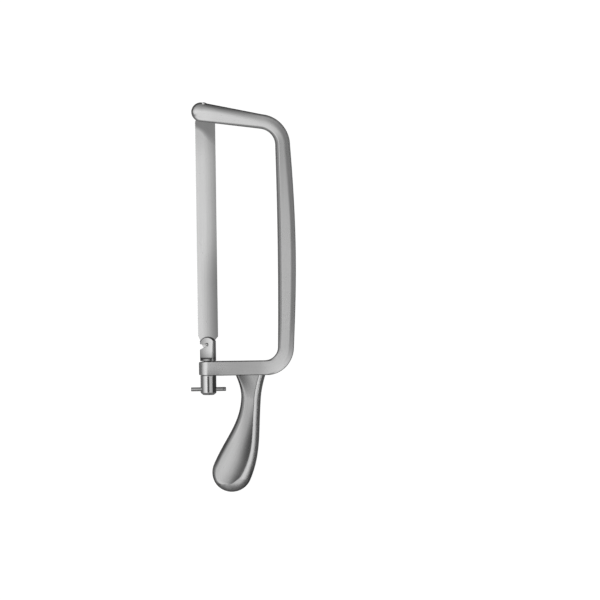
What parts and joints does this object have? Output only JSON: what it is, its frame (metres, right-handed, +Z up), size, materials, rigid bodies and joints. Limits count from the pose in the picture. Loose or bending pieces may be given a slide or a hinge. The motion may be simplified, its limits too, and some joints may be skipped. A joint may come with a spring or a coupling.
{
  "type": "bow amputation saw",
  "caption": "Steel bow-frame amputation saw: toothed blade hung on cross pins between an arched frame's slotted end and a hooked carrier tensioned by a T-bar nut, with a pear-shaped handle.",
  "frame": {"origin": "under the middle of the saw's box, on the surface that the saw lies on", "axes": "the saw lies on its side: +X from the blade to the spine, +Y from the handle to the tip, +Z up"},
  "size_m": [0.096, 0.3508, 0.025],
  "materials": {
    "forged_steel": "satin, brushed along its length",
    "handle_steel": "polished satin",
    "blade_steel": "ground flat, fine grain along the blade",
    "polished_steel": "turned and polished",
    "fitting_steel": "drawn bar"
  },
  "bodies": {
    "frame": {"bow_frame": "forged_steel", "handle": "handle_steel", "handle_stud": "fitting_steel"},
    "carriage": {"blade_carrier": "polished_steel", "saw_blade": "blade_steel", "upper_blade_pin": "fitting_steel", "lower_blade_pin": "fitting_steel"},
    "nut": {"tension_nut": "polished_steel", "t_bar": "fitting_steel"}
  },
  "joints": [
    {"name": "carriage_slide", "type": "slide", "parent": "frame", "child": "carriage", "axis": [0, 1, 0], "range_m": [0, 0.005]},
    {"name": "nut_turn", "type": "hinge", "parent": "frame", "child": "nut", "pos_m": [-0.03222, -0.0792, 0.0125], "axis": [0, -1, 0], "range_deg": [0, 1440]}
  ],
  "couplings": [
    {"joint": "nut_turn", "follows": "carriage_slide", "rad_per_m": 5026.5}
  ]
}
